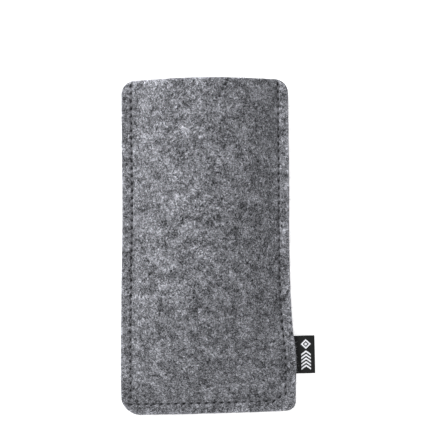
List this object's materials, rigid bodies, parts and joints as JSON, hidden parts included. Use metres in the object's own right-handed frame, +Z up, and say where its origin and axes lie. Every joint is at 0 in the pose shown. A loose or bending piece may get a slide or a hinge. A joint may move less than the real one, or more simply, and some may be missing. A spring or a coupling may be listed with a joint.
{
  "type": "soft pouch glasses case",
  "caption": "Soft felt pouch for folded glasses, stitched round three sides and open at the mouth, with a folded ribbon label in the side seam.",
  "frame": {"origin": "on the flat underside of the back panel, midway along and across the pouch", "axes": "+Z up out of the front panel as the pouch lies on its back, +Y out of the mouth, +X towards the label"},
  "size_m": [0.0998, 0.1703, 0.0278],
  "materials": {
    "felt": "melange grey needle-punched felt, matt and fibrous",
    "thread": "dark grey twisted sewing thread",
    "ribbon": "black woven ribbon with a white woven pattern"
  },
  "bodies": {
    "pouch": {"front_panel": "felt", "back_panel": "felt", "needle_thread": "thread", "bobbin_thread": "thread", "label_tail_front": "ribbon", "label_tail_back": "ribbon"},
    "label": {"label_flag": "ribbon"}
  },
  "joints": [
    {"name": "label_flip", "type": "hinge", "parent": "pouch", "child": "label", "pos_m": [0.04581, -0.05529, 0.00754], "axis": [0.0178, -0.991, -0.1329], "range_deg": [-38, 85], "stiffness_Nm_per_rad": 0.0003}
  ]
}
